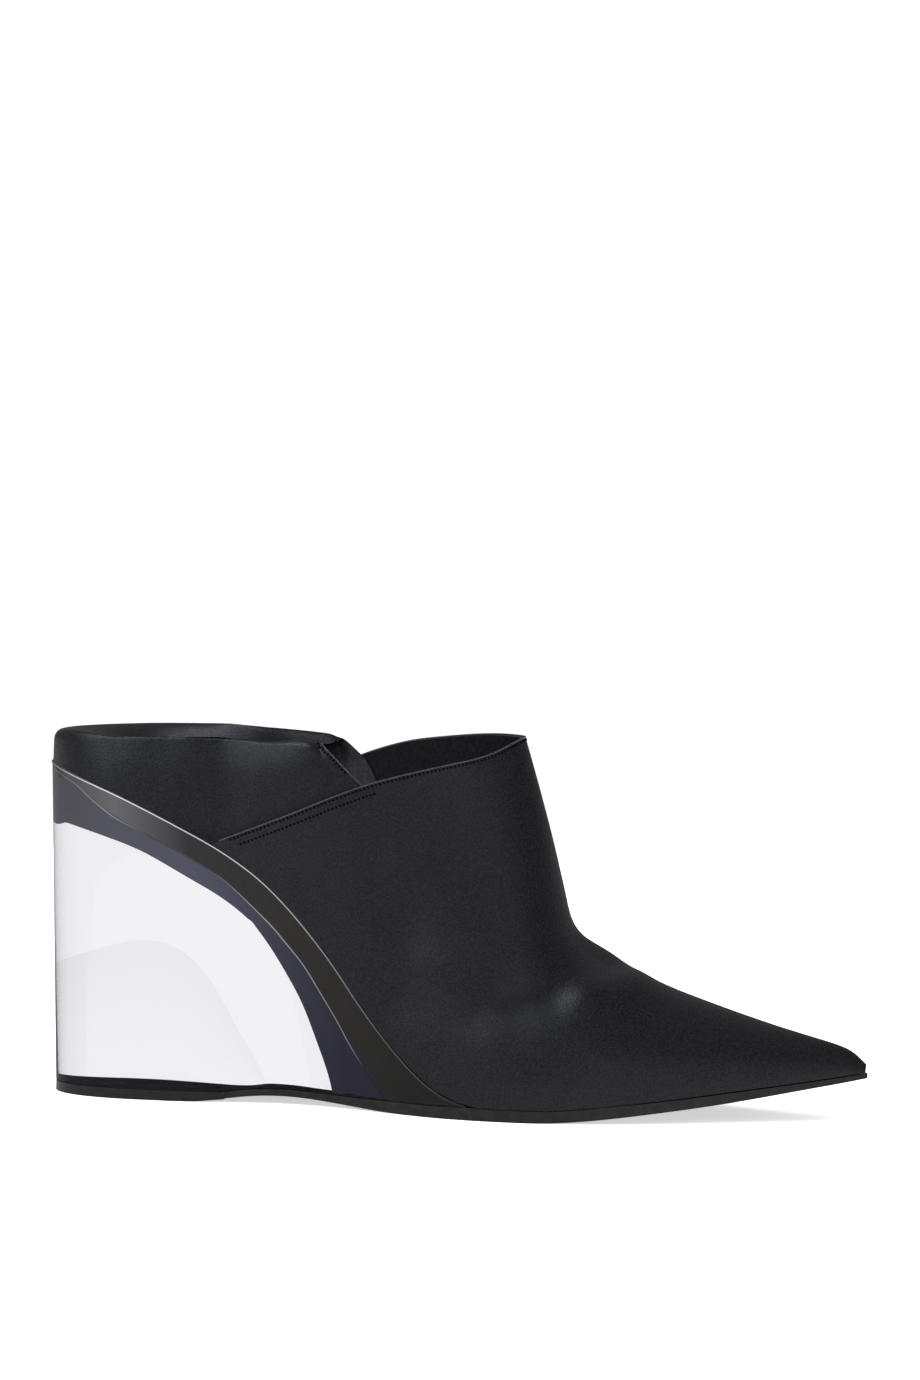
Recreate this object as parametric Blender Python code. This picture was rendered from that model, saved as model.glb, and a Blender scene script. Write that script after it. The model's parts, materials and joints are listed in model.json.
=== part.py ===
"""Clear heeled mule for the right foot: a pointed satin shoe on a solid clear wedge.

The frame has +X toward the toe, +Y toward the inner side of the foot and +Z up.
The origin is at the middle of the shoe's box, on the floor.
Inside the functions, x runs from the back of the heel at the floor (0) to the toe tip (LENGTH).
"""
import math

import bmesh
import bpy
import numpy as np

MM = 0.001

# Driving sizes
LENGTH = 241 * MM            # back of the heel at the floor to the toe tip
BALL_WIDTH = 78 * MM         # across the ball, both sides together
SEAT_WIDTH = 54 * MM         # across the heel seat, on top of the wedge
HEEL_HEIGHT = 98.6 * MM      # floor to the last's bottom edge above the heel's back
INSTEP_HEIGHT = 109.2 * MM   # floor to the front of the collar
QUARTER_RISE = 10.4 * MM     # heel seat edge to the fold of the back quarter
HEEL_LEAN = 3.3 * MM         # how far the wedge's back leans out at the top
HEEL_BASE_WIDTH = 47 * MM    # across the wedge at the lift
HEEL_CAP = 30 * MM           # length of the rounded back end
WAIST_NIP = 5 * MM           # how much each side of the base draws in at the waist
WAIST_RISE = 2.4 * MM        # sole bottom above the floor under the arch
TOE_LIFT = 12.4 * MM         # sole bottom above the floor at the toe tip
TOE_SPRING = 10.4 * MM       # rise of the upper's bottom edge from the ball to the toe tip
FORE_SOLE = 3.4 * MM         # sole thickness under the ball
WAIST_SOLE = 2.0 * MM        # sole thickness under the arch
SOLE_MARGIN = 0.3 * MM       # sole edge beyond the upper
LIFT_THICKNESS = 3.0 * MM
LIFT_LENGTH = 54 * MM
LIFT_BEVEL = 10 * MM         # length of the lift's front end that tapers up
LIFT_BEVEL_RISE = 0.9 * MM
BASE_STEP = 6 * MM           # length over which the wedge's base passes from the lift to the sole
INSOLE_THICKNESS = 2.4 * MM
WALL = 1.6 * MM              # vamp: satin, stiffener and lining
QUARTER_WALL = 1.4 * MM      # soft back: satin and lining
GAP = 0.3 * MM               # between touching pieces
BED_BULGE = 6.0 * MM         # how far the last's bottom is rounded down across the waist
TOE_SOLID = 15 * MM          # length of the toe in front of the hollow
INSOLE_SETBACK = 20 * MM     # the insole's front end behind the toe tip
FOLD_RADIUS = 3.2 * MM       # of the soft fold
TUCK = 7.5 * MM              # how far the quarter reaches down inside the collar
TUCK_LENGTH = 10 * MM        # length over which the quarter steps in behind the vamp
SEAT_INSET = 0.2 * MM        # the quarter behind the bottom edge's line at the heel
INSOLE_PLAY = 0.2 * MM       # between the insole and what stands around it, beyond GAP
QUARTER_LEAN = 0.11          # inward lean of the quarter's sides, per unit of height
HEEL_SQUARENESS = 2.25       # exponent of the rounded back: 2 is an ellipse, more is squarer

SOLE_TOP = FORE_SOLE + GAP       # height of the upper's bottom edge at the ball
COLLAR_FOOT = 0.2033 * LENGTH    # where the vamp's collar meets the wedge's edge
WAIST_END = 0.33 * LENGTH        # where the sole starts to thicken toward the ball
BALL_START = 0.45 * LENGTH       # where the sole comes down to the floor
WEDGE_TIP = 0.527 * LENGTH       # front end of the wedge under the ball
BALL_END = 0.615 * LENGTH        # where the toe starts to rise
TOE_CAVITY = LENGTH - TOE_SOLID  # front end of the hollow in the toe

# Half widths of the upper's bottom edge. x is a share of LENGTH.
# Each side is seat share x SEAT_WIDTH + ball share x BALL_WIDTH.
#          x      seat   outer  inner
OUTLINE = (
    (0.111, 0.500, 0.000, 0.000),
    (0.187, 0.490, 0.014, 0.000),
    (0.270, 0.400, 0.071, 0.034),
    (0.353, 0.250, 0.200, 0.122),
    (0.436, 0.100, 0.373, 0.266),
    (0.519, 0.000, 0.506, 0.408),
    (0.590, 0.000, 0.525, 0.464),
    (0.650, 0.000, 0.503, 0.474),
    (0.730, 0.000, 0.426, 0.422),
    (0.830, 0.000, 0.288, 0.290),
    (0.934, 0.000, 0.132, 0.136),
    (0.988, 0.000, 0.042, 0.043),
    (1.000, 0.000, 0.012, 0.012),
)

# Height of the upper's bottom edge. x is a share of LENGTH, heel a share of the rise to
# HEEL_HEIGHT, toe a share of TOE_SPRING, bulge a share of BED_BULGE.
#        x       heel   toe    bulge
BED = (
    (-0.014, 1.018, 0.000, 0.30),
    (0.033, 0.966, 0.000, 0.45),
    (0.095, 0.897, 0.000, 0.55),
    (0.158, 0.822, 0.000, 0.65),
    (0.212, 0.752, 0.000, 0.80),
    (0.259, 0.672, 0.000, 0.95),
    (0.293, 0.594, 0.000, 1.00),
    (0.346, 0.444, 0.000, 1.00),
    (0.398, 0.271, 0.000, 0.85),
    (0.447, 0.131, 0.000, 0.55),
    (0.480, 0.059, 0.000, 0.25),
    (0.512, 0.018, 0.000, 0.04),
    (0.545, 0.000, 0.000, 0.00),
    (0.630, 0.000, 0.010, 0.00),
    (0.687, 0.000, 0.135, 0.00),
    (0.776, 0.000, 0.340, 0.00),
    (0.842, 0.000, 0.530, 0.00),
    (0.909, 0.000, 0.720, 0.00),
    (1.000, 0.000, 1.000, 0.00),
)

# Ribs of the vamp. Each runs up from the bottom edge at x = foot to the ridge over the instep.
# foot and ridge_x are shares of LENGTH, ridge_z a share of INSTEP_HEIGHT,
# round is the exponent of the rib's curve and belly its swell at the side, a share of BALL_WIDTH.
#        foot   ridge_x ridge_z round belly
RIBS = (
    (1.000, 1.000, 0.143, 1.8, 0.000),
    (0.990, 0.993, 0.167, 1.8, 0.002),
    (0.971, 0.977, 0.189, 1.8, 0.004),
    (0.938, 0.950, 0.208, 1.8, 0.007),
    (0.888, 0.906, 0.233, 1.8, 0.011),
    (0.784, 0.812, 0.296, 1.8, 0.015),
    (0.689, 0.728, 0.363, 1.8, 0.016),
    (0.643, 0.692, 0.406, 1.8, 0.016),
    (0.602, 0.664, 0.447, 1.8, 0.016),
    (0.560, 0.6415, 0.496, 1.8, 0.016),
    (0.519, 0.628, 0.563, 1.9, 0.014),
    (0.477, 0.618, 0.644, 2.0, 0.012),
    (0.432, 0.608, 0.728, 2.1, 0.010),
    (0.373, 0.597, 0.813, 2.3, 0.012),
    (0.307, 0.586, 0.894, 2.5, 0.018),
    (0.203, 0.571, 1.000, 2.8, 0.026),
)

# The collar's departure from a straight rib, a share of INSTEP_HEIGHT, along the rib (0 to 1).
COLLAR_OUTER = ((0.0, 0.0), (0.25, 0.007), (0.48, 0.018), (0.73, 0.0), (0.89, -0.0155), (1.0, 0.0))
COLLAR_INNER = (
    (0.0, 0.0), (0.2, 0.062), (0.4, 0.104), (0.54, 0.101), (0.70, 0.075), (0.88, 0.036), (1.0, 0.0),
)
COLLAR_FADE = 0.16           # share of LENGTH over which that departure fades below the collar

# Underside of the sole. waist is a share of WAIST_RISE, toe a share of TOE_LIFT.
#        x      waist  toe
TREAD = (
    (0.224, 0.40, 0.00),
    (0.262, 0.95, 0.00),
    (0.300, 1.00, 0.00),
    (0.353, 0.65, 0.00),
    (0.410, 0.18, 0.00),
    (BALL_START / LENGTH, 0.00, 0.00),
    (BALL_END / LENGTH, 0.00, 0.00),
    (0.650, 0.00, 0.04),
    (0.690, 0.00, 0.11),
    (0.734, 0.00, 0.21),
    (0.826, 0.00, 0.44),
    (0.920, 0.00, 0.74),
    (1.000, 0.00, 1.00),
)

# How far the wedge's base has widened from the lift's width (0) to the upper's width (1),
# and how much of WAIST_NIP it is drawn in.
#        x      widen  nip
BASE = (
    (0.000, 0.00, 0.00),
    (0.150, 0.00, 0.05),
    (0.230, 0.05, 0.55),
    (0.300, 0.30, 1.00),
    (0.360, 0.60, 0.85),
    (0.430, 0.85, 0.45),
    (0.500, 1.00, 0.05),
    (0.530, 1.00, 0.00),
    (1.000, 1.00, 0.00),
)

# The fold of the back quarter and the flap behind it. turn runs around the heel, from 0 at the middle
# of the back to 1 where the top line leaves the fold. height is the fold's, a share of QUARTER_RISE.
# The flap's free edge lies at edge_x, a share of LENGTH, and edge_y from the middle, and drop below
# the fold, shares of SEAT_WIDTH.
#        turn   height edge_x edge_y drop
FOLD = (
    (0.000, 0.86, 0.137, 0.000, 0.425),
    (0.150, 0.89, 0.142, 0.085, 0.415),
    (0.300, 0.94, 0.160, 0.160, 0.350),
    (0.460, 1.00, 0.190, 0.215, 0.270),
    (0.650, 1.03, 0.230, 0.260, 0.190),
    (0.850, 0.94, 0.287, 0.305, 0.100),
    (1.000, 0.82, 0.334, 0.335, 0.040),
)

OUTER = -1
INNER = 1
# Where the quarter's free top line leaves the fold, and where it ends, tucked under the collar
TOPLINE = {
    OUTER: dict(start=0.328 * LENGTH, end=0.406 * LENGTH, tucked=7.0 * MM),
    INNER: dict(start=0.328 * LENGTH, end=0.378 * LENGTH, tucked=6.9 * MM),
}
UNFOLD = 6 * MM              # length over which the fold runs out into the upright top line
CAP_STEP = 4 * MM            # from the rounded heel end to the next cross-section
TIP_STEP = 0.6 * MM          # from the vamp's first cross-section to the toe tip
TOE_ROWS = 14 * MM           # length of the toe with closer cross-sections
SOLE_TIP = (0.975, 0.987, 0.995, 1.0)    # last cross-sections of the sole, shares of LENGTH


def smooth(table, column):
    """A curve without overshoot through one column of a table, as a function of its first column."""
    xs = np.array([row[0] for row in table], float)
    ys = np.array([row[column] for row in table], float)
    if xs[0] > xs[-1]:
        xs, ys = xs[::-1], ys[::-1]
    steps = np.diff(xs)
    slopes = np.diff(ys) / steps
    tangents = np.zeros(len(xs))
    for i in range(1, len(xs) - 1):
        before, after = slopes[i - 1], slopes[i]
        if before * after > 0:
            near, far = 2 * steps[i] + steps[i - 1], steps[i] + 2 * steps[i - 1]
            tangents[i] = (near + far) / (near / before + far / after)
    tangents[0], tangents[-1] = slopes[0], slopes[-1]

    def curve(x):
        x = min(max(x, xs[0]), xs[-1])
        i = min(int(np.searchsorted(xs, x, side="right")) - 1, len(xs) - 2)
        t = (x - xs[i]) / steps[i]
        rise = ys[i + 1] - ys[i]
        return float(
            ys[i]
            + rise * t * t * (3 - 2 * t)
            + steps[i] * t * (1 - t) * ((1 - t) * tangents[i] - t * tangents[i + 1])
        )

    return curve


def ease(t):
    """0 to 1 with soft ends."""
    t = min(max(t, 0.0), 1.0)
    return t * t * (3 - 2 * t)


def mix(a, b, t):
    return a + (b - a) * t


seat_share = smooth(OUTLINE, 1)
ball_share = {OUTER: smooth(OUTLINE, 2), INNER: smooth(OUTLINE, 3)}
bed_heel, bed_toe, bed_bulge = (smooth(BED, column) for column in (1, 2, 3))
tread_waist, tread_toe = smooth(TREAD, 1), smooth(TREAD, 2)
base_widen, base_nip = smooth(BASE, 1), smooth(BASE, 2)
fold_height, flap_x, flap_y, flap_drop = (smooth(FOLD, column) for column in (1, 2, 3, 4))
rib_x, rib_z, rib_round, rib_belly = (smooth(RIBS, column) for column in (1, 2, 3, 4))
collar_lift = {OUTER: smooth(COLLAR_OUTER, 1), INNER: smooth(COLLAR_INNER, 1)}


def rounded_end(distance):
    """Share of the full width at a distance from the back of the rounded heel end."""
    t = min(max(distance / HEEL_CAP, 0.0), 1.0)
    return (1 - (1 - t) ** HEEL_SQUARENESS) ** (1 / HEEL_SQUARENESS)


def side_width(x, side):
    """Half width of the upper's bottom edge, without the rounding of the heel."""
    share = x / LENGTH
    return seat_share(share) * SEAT_WIDTH + ball_share[side](share) * BALL_WIDTH


def half_width(x, side):
    return side_width(x, side) * rounded_end(x + HEEL_LEAN)


def base_half_width(x, side):
    """Half width of the wedge's base and of the sole under it."""
    share = x / LENGTH
    narrow = side_width(x, side) * HEEL_BASE_WIDTH / SEAT_WIDTH
    width = mix(narrow, side_width(x, side), base_widen(share)) - WAIST_NIP * base_nip(share)
    return width * rounded_end(x)


def bed_edge(x):
    """Height of the upper's bottom edge."""
    share = x / LENGTH
    return SOLE_TOP + (HEEL_HEIGHT - SOLE_TOP) * bed_heel(share) + TOE_SPRING * bed_toe(share)


def bed(x, y):
    """Height of the last's bottom, rounded down between its edges."""
    width = side_width(x, INNER if y > 0 else OUTER)
    across = min(abs(y) / width, 1.0)
    return bed_edge(x) - BED_BULGE * bed_bulge(x / LENGTH) * (1 - across * across)


def tread(x):
    """Height of the sole's underside."""
    return WAIST_RISE * tread_waist(x / LENGTH) + TOE_LIFT * tread_toe(x / LENGTH)


def sole_thickness_under_wedge(x):
    return mix(WAIST_SOLE, FORE_SOLE, ease((x - WAIST_END) / (BALL_START - WAIST_END)))


def sole_top(x):
    if x >= WEDGE_TIP + GAP:
        return bed_edge(x) - GAP
    return min(tread(x) + sole_thickness_under_wedge(x), bed_edge(x) - GAP)


def wedge_base(x):
    """Height of the wedge's underside: flat on the lift, then along the sole."""
    on_lift = LIFT_THICKNESS + GAP
    on_sole = tread(x) + sole_thickness_under_wedge(x) + GAP
    return mix(on_lift, on_sole, ease((x - LIFT_LENGTH) / BASE_STEP))


def lift_bottom(x):
    return LIFT_BEVEL_RISE * ease((x - (LIFT_LENGTH - LIFT_BEVEL)) / LIFT_BEVEL)


def ridge(foot):
    return np.array([rib_x(foot / LENGTH) * LENGTH, rib_z(foot / LENGTH) * INSTEP_HEIGHT])


def rib_point(foot, share, side, inset=0.0):
    """A point of the vamp: up the rib from foot, share 0 at the bottom edge and 1 at the ridge.

    inset moves the whole surface inward, to the lining."""
    top = ridge(foot)
    if inset:
        step = 1 * MM
        along = ridge(min(foot + step, LENGTH)) - ridge(max(foot - step, COLLAR_FOOT))
        inward = np.array([along[1], -along[0]]) / np.linalg.norm(along)
        start = np.array([foot, bed_edge(foot)])
        if inward @ (start - top) < 0:
            inward = -inward
        top = top + inward * inset
    width = half_width(foot, side) - inset
    close = (1 - share ** rib_round(foot / LENGTH)) ** 0.5
    swell = rib_belly(foot / LENGTH) * BALL_WIDTH * math.sin(math.pi * share) * (1 - share)
    y = side * (width * close + swell)
    bottom = bed(foot, side * width)
    fade = ease(1 - (foot - COLLAR_FOOT) / (COLLAR_FADE * LENGTH))
    lift = collar_lift[side](share) * INSTEP_HEIGHT * fade
    return (mix(foot, top[0], share), y, mix(bottom, top[1], share) + lift)


def collar_height(x, side):
    """Height of the collar above x."""
    share = (x - COLLAR_FOOT) / (ridge(COLLAR_FOOT)[0] - COLLAR_FOOT)
    return rib_point(COLLAR_FOOT, min(max(share, 0.0), 1.0), side)[2]


def vamp_half_width(x, z, side, inset):
    """Half width of the vamp's surface at a place seen from the side."""
    heights, widths = [], []
    for foot in np.linspace(min(x, WEDGE_TIP), COLLAR_FOOT, 40):
        share = (x - foot) / (ridge(foot)[0] - foot)
        _, y, height = rib_point(foot, share, side, inset)
        heights.append(height)
        widths.append(abs(y))
    return float(np.interp(z, heights, widths))


def new_object(name, mesh, material):
    """Makes the object, closed with its faces out, in the frame with its origin under the shoe's middle."""
    bmesh.ops.triangulate(mesh, faces=[f for f in mesh.faces if len(f.verts) > 4])
    bmesh.ops.recalc_face_normals(mesh, faces=mesh.faces[:])
    data = bpy.data.meshes.new(name)
    mesh.to_mesh(data)
    mesh.free()
    data.shade_smooth()
    data.set_sharp_from_angle(angle=math.radians(40))
    data.materials.append(material)
    obj = bpy.data.objects.new(name, data)
    obj.location = (-middle[0], -middle[1], 0)
    bpy.context.scene.collection.objects.link(obj)
    return obj


def material(name, colour, roughness, transmission=0.0, ior=1.45):
    made = bpy.data.materials.new(name)
    made.use_nodes = True
    shader = made.node_tree.nodes["Principled BSDF"]
    shader.inputs["Base Color"].default_value = (*colour, 1)
    shader.inputs["Roughness"].default_value = roughness
    shader.inputs["Metallic"].default_value = 0
    shader.inputs["Transmission Weight"].default_value = transmission
    shader.inputs["IOR"].default_value = ior
    return made


def add_rows(mesh, rows):
    return [[mesh.verts.new(point) for point in row] for row in rows]


def bridge(mesh, first, second, closed=False):
    """Quads between two rows of as many vertices."""
    count = len(first)
    for i in range(count if closed else count - 1):
        j = (i + 1) % count
        mesh.faces.new((first[i], first[j], second[j], second[i]))


def lofted(name, loops, made_of):
    """A solid through closed loops, each a row across the top and as long a row back underneath."""
    mesh = bmesh.new()
    rows = add_rows(mesh, loops)
    for first, second in zip(rows, rows[1:]):
        bridge(mesh, first, second, closed=True)
    for end in (rows[0], rows[-1]):
        half = len(end) // 2
        bridge(mesh, end[:half], end[:half - 1:-1])
    return new_object(name, mesh, made_of)


def spread(start, end, count):
    return [mix(start, end, i / (count - 1)) for i in range(count)]


def heel_stations(back, count):
    """Places along x around the rounded back end, evenly turned."""
    first, last = math.radians(7), math.radians(90)
    turns = spread(first, last, count)
    return [back + HEEL_CAP * (1 - math.cos(turn) ** (2 / HEEL_SQUARENESS)) for turn in turns]


def across(x, width, height, count):
    """A row of points from the outer to the inner side."""
    return [(x, y, height(x, y)) for y in spread(-width(x, OUTER), width(x, INNER), count)]


def slab(x, width, top, bottom, count):
    """A cross-section: its top row from the outer side to the inner, its bottom row back again."""
    return across(x, width, top, count) + across(x, width, bottom, count)[::-1]


def make_wedge(made_of):
    """Clear wedge: top shaped to the last's bottom, base narrower, back leaning out."""
    stations = heel_stations(-HEEL_LEAN, 10) + spread(HEEL_CAP + CAP_STEP / 2, WEDGE_TIP, 20)
    loops = []
    for x in stations:
        top = across(x, half_width, lambda a, y: bed(a, y) - GAP, 9)
        distance = x + HEEL_LEAN
        under = x + HEEL_LEAN * max(0.0, 1 - distance / LIFT_LENGTH)
        base = across(under, base_half_width, lambda a, y: wedge_base(a), 9)
        loops.append(top + base[::-1])
    return lofted("clear_wedge", loops, made_of)


def make_lift(made_of):
    stations = heel_stations(0.0, 9) + spread(HEEL_CAP + CAP_STEP, LIFT_LENGTH - GAP, 6)
    loops = [
        slab(x, base_half_width, lambda a, y: LIFT_THICKNESS, lambda a, y: lift_bottom(a), 3)
        for x in stations
    ]
    return lofted("heel_lift", loops, made_of)


def sole_half_width(x, side):
    if x < WEDGE_TIP:
        blend = ease((x - BALL_START) / (WEDGE_TIP - BALL_START))
        return base_half_width(x, side) + SOLE_MARGIN * blend
    return half_width(x, side) + SOLE_MARGIN


def make_outsole(made_of):
    waist = spread(LIFT_LENGTH + GAP, BALL_START, 10)
    ball = spread(BALL_START, BALL_END, 7)[1:]
    toe = spread(BALL_END, SOLE_TIP[0] * LENGTH, 13)[1:]
    stations = waist + ball + toe + [share * LENGTH for share in SOLE_TIP[1:]]
    loops = [slab(x, sole_half_width, lambda a, y: sole_top(a), lambda a, y: tread(a), 3) for x in stations]
    return lofted("outsole", loops, made_of)


def quarter_inset(x):
    """How far the quarter stands inside the bottom edge's line: flush behind, inside the vamp in front."""
    behind_vamp = (x - (COLLAR_FOOT - TUCK_LENGTH)) / TUCK_LENGTH
    return mix(SEAT_INSET, WALL + GAP, ease(behind_vamp))


def insole_inset(x):
    inside_quarter = quarter_inset(x) + QUARTER_WALL + GAP
    beyond_quarter = (x - COLLAR_FOOT) / (COLLAR_FOOT / 3) - 1
    return mix(inside_quarter, WALL + GAP, ease(2 * beyond_quarter)) + INSOLE_PLAY


def make_insole(made_of):
    back = -HEEL_LEAN + QUARTER_WALL + 3 * GAP + SEAT_INSET
    stations = [x + back + HEEL_LEAN for x in heel_stations(-HEEL_LEAN, 8)]
    stations += spread(HEEL_CAP + CAP_STEP, LENGTH - INSOLE_SETBACK, 30)
    loops = []
    for x in stations:
        def width(a, side):
            shifted = side_width(a, side) - insole_inset(a)
            return shifted * rounded_end(a - back)

        loops.append(slab(x, width, lambda a, y: bed(a, y) + INSOLE_THICKNESS, bed, 7))
    return lofted("insole", loops, made_of)


def shell(name, outer, inner, made_of, toe_cap=False):
    """A wall between two grids of as many rows and columns, closed along their edges."""
    mesh = bmesh.new()
    outside, inside = add_rows(mesh, outer), add_rows(mesh, inner)
    for surface in (outside, inside):
        for first, second in zip(surface, surface[1:]):
            bridge(mesh, first, second)
    bridge(mesh, outside[-1], inside[-1])
    for column in (0, -1):
        bridge(mesh, [row[column] for row in outside], [row[column] for row in inside])
    if toe_cap:
        mesh.faces.new(outside[0])
        mesh.faces.new(inside[0])
        mesh.faces.new((outside[0][0], outside[0][-1], inside[0][-1], inside[0][0]))
    else:
        bridge(mesh, outside[0], inside[0])
    return new_object(name, mesh, made_of)


def vamp_surface(first_foot, inset, rows, columns):
    """Grid of the vamp: each row is a rib from the outer bottom edge over the ridge to the inner one."""
    toe_rows = 4
    feet = spread(first_foot, first_foot - TOE_ROWS, toe_rows)
    feet += spread(first_foot - TOE_ROWS, COLLAR_FOOT, rows - toe_rows + 1)[1:]
    grid = []
    for foot in feet:
        shares = [math.sin(math.radians(a)) for a in spread(0, 90, columns)]
        outer_side = [rib_point(foot, share, OUTER, inset) for share in shares]
        inner_side = [rib_point(foot, share, INNER, inset) for share in shares]
        grid.append(outer_side + inner_side[-2::-1])
    return grid


def make_vamp(made_of):
    rows, columns = 30, 16
    outer = vamp_surface(LENGTH - TIP_STEP, 0.0, rows, columns)
    inner = vamp_surface(TOE_CAVITY, WALL, rows, columns)
    return shell("upper_vamp", outer, inner, made_of, toe_cap=True)


def quarter_foot(x, y, side):
    """Height of the quarter's lower edge: on the wedge, then along inside the collar."""
    if x <= COLLAR_FOOT:
        return bed(x, y)
    return max(bed(x, y), collar_height(x, side) - TUCK)


def quarter_side(x, z, side):
    """Half width of the quarter's outer face at a place seen from the side."""
    leaned = half_width(x, side) - quarter_inset(x) - QUARTER_LEAN * max(0.0, z - bed_edge(x))
    if x <= COLLAR_FOOT:
        return leaned
    rim = collar_height(x, side)
    covered = vamp_half_width(x, min(z, rim), side, WALL) - GAP
    above = QUARTER_LEAN * max(0.0, z - rim)
    blend = ease((x - COLLAR_FOOT) / TUCK_LENGTH)
    return min(mix(leaned, covered - above, blend), covered)


def quarter_path():
    """Places around the heel from the outer front end to the inner one: x, side, inward, turn."""
    back = heel_stations(-HEEL_LEAN, 9)
    path = []
    for side in (OUTER, INNER):
        start, end = TOPLINE[side]["start"], TOPLINE[side]["end"]
        leg = spread(end, start + UNFOLD / 2, 4)
        leg += spread(start + UNFOLD / 2, start - UNFOLD / 2, 7)[1:]
        leg += spread(start - UNFOLD / 2, HEEL_CAP, 12)[1:] + back[::-1]
        plan = np.array([(x, side * half_width(x, side), 0.0) for x in leg] + [(-HEEL_LEAN, 0.0, 0.0)])
        travelled = np.concatenate([[0.0], np.cumsum(np.linalg.norm(np.diff(plan, axis=0), axis=1))])
        from_back = travelled[-1] - travelled[:-1]
        unfolds = float(np.interp(-start, -plan[:-1, 0], from_back))
        along = np.gradient(plan, axis=0)[:-1]
        inward = np.stack([along[:, 1], -along[:, 0], np.zeros(len(leg))], axis=1) * -side
        inward /= np.linalg.norm(inward, axis=1, keepdims=True)
        placed = [(x, side, step, far / unfolds) for x, step, far in zip(leg, inward, from_back)]
        path += placed if side == OUTER else placed[::-1]
    return path


def quarter_column(x, side, inward, turn, inset):
    """Profile of the quarter at one place around the heel: up the wall, over the fold, along the flap.

    inset is 0 for the satin and the wall's thickness for the lining."""
    wall_rows, bend_rows, flap_rows = 6, 4, 5
    up = np.array([0.0, 0.0, 1.0])
    top = TOPLINE[side]
    level = HEEL_HEIGHT + QUARTER_RISE * fold_height(turn)
    front_end = collar_height(top["end"], side) - top["tucked"]
    fallen = (x - top["start"]) / (top["end"] - top["start"])
    top_line = mix(level, front_end, max(0.0, fallen))
    edge_y = side * (half_width(x, side) - quarter_inset(x))
    foot = quarter_foot(x, edge_y - side * inset, side)
    if x > HEEL_CAP:
        inward = np.array([0.0, -side, 0.0])

    def wall_at(z):
        if x > HEEL_CAP:
            start = np.array([x, side * quarter_side(x, z, side), z])
            return start + inward * inset
        lean = QUARTER_LEAN * max(0.0, z - foot) * inward[1] * inward[1]
        start = np.array([x, side * half_width(x, side), z])
        return start + inward * (quarter_inset(x) + lean + inset)

    upper_rows = bend_rows + flap_rows
    lower_top = mix(foot, top_line, 0.7)
    upright = [wall_at(z) for z in spread(foot, lower_top, wall_rows)]
    upright += [wall_at(z) for z in spread(lower_top, top_line, upper_rows + 1)[1:]]
    folded = [wall_at(z) for z in spread(foot, level - FOLD_RADIUS, wall_rows)]
    centre = folded[-1] + inward * (FOLD_RADIUS - inset)
    for i in range(1, bend_rows + 1):
        angle = math.radians(90) * i / bend_rows
        folded.append(centre + (FOLD_RADIUS - inset) * (math.sin(angle) * up - math.cos(angle) * inward))
    edge = np.array([flap_x(turn) * LENGTH, side * flap_y(turn) * SEAT_WIDTH, centre[2]])
    run = edge - centre
    reach = float(np.linalg.norm(run))
    drop = flap_drop(turn) * SEAT_WIDTH
    level_run = 0.55
    for i in range(1, flap_rows + 1):
        share = i / flap_rows
        along = 2 * share * (1 - share) * level_run + share * share
        slope = 2 * level_run * (1 - 2 * share) + 2 * share
        fall = 2 * share * drop
        below = -(slope * reach * up + fall * run / reach) / math.hypot(slope * reach, fall)
        surface = centre + FOLD_RADIUS * up + run * along - drop * share * share * up
        folded.append(surface + inset * below)
    blend = ease((top["start"] + UNFOLD / 2 - x) / UNFOLD)
    return [mix(a, b, blend) for a, b in zip(upright, folded)]


def make_quarter(made_of):
    path = quarter_path()
    outer = [quarter_column(*place, 0.0) for place in path]
    inner = [quarter_column(*place, QUARTER_WALL) for place in path]
    return shell("heel_quarter", outer, inner, made_of)


for old in list(bpy.data.objects):
    bpy.data.objects.remove(old)

outer_edge = max(sole_half_width(x, OUTER) for x in np.linspace(0.4, 0.8, 200) * LENGTH)
inner_edge = max(sole_half_width(x, INNER) for x in np.linspace(0.4, 0.8, 200) * LENGTH)
middle = ((LENGTH - HEEL_LEAN) / 2, (inner_edge - outer_edge) / 2)

satin = material("black satin", (0.012, 0.013, 0.018), 0.45)
clear = material("clear acrylic", (1.0, 1.0, 1.0), 0.02, transmission=1.0, ior=1.49)
sole_black = material("black sole", (0.02, 0.018, 0.017), 0.3)
rubber = material("black rubber", (0.018, 0.017, 0.016), 0.5)
lining = material("black lining", (0.012, 0.012, 0.013), 0.6)

make_wedge(clear)
make_lift(rubber)
make_outsole(sole_black)
make_insole(lining)
make_vamp(satin)
make_quarter(satin)
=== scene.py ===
# %% [markdown]
# # A black satin mule on a clear wedge
# The shoe has a pointed satin front, a soft satin back that has been trodden down flat,
# and a tall solid wedge of clear acrylic between the foot bed and a thin black sole.
# The CAD model gives every size. It is loaded first, and each step below makes one part
# of the shoe finer or gives it its finish, in the same place.

# %% The frame and its box
import json
import math

import bmesh
import bpy
from mathutils import Matrix, Vector
from mathutils.bvhtree import BVHTree

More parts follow.
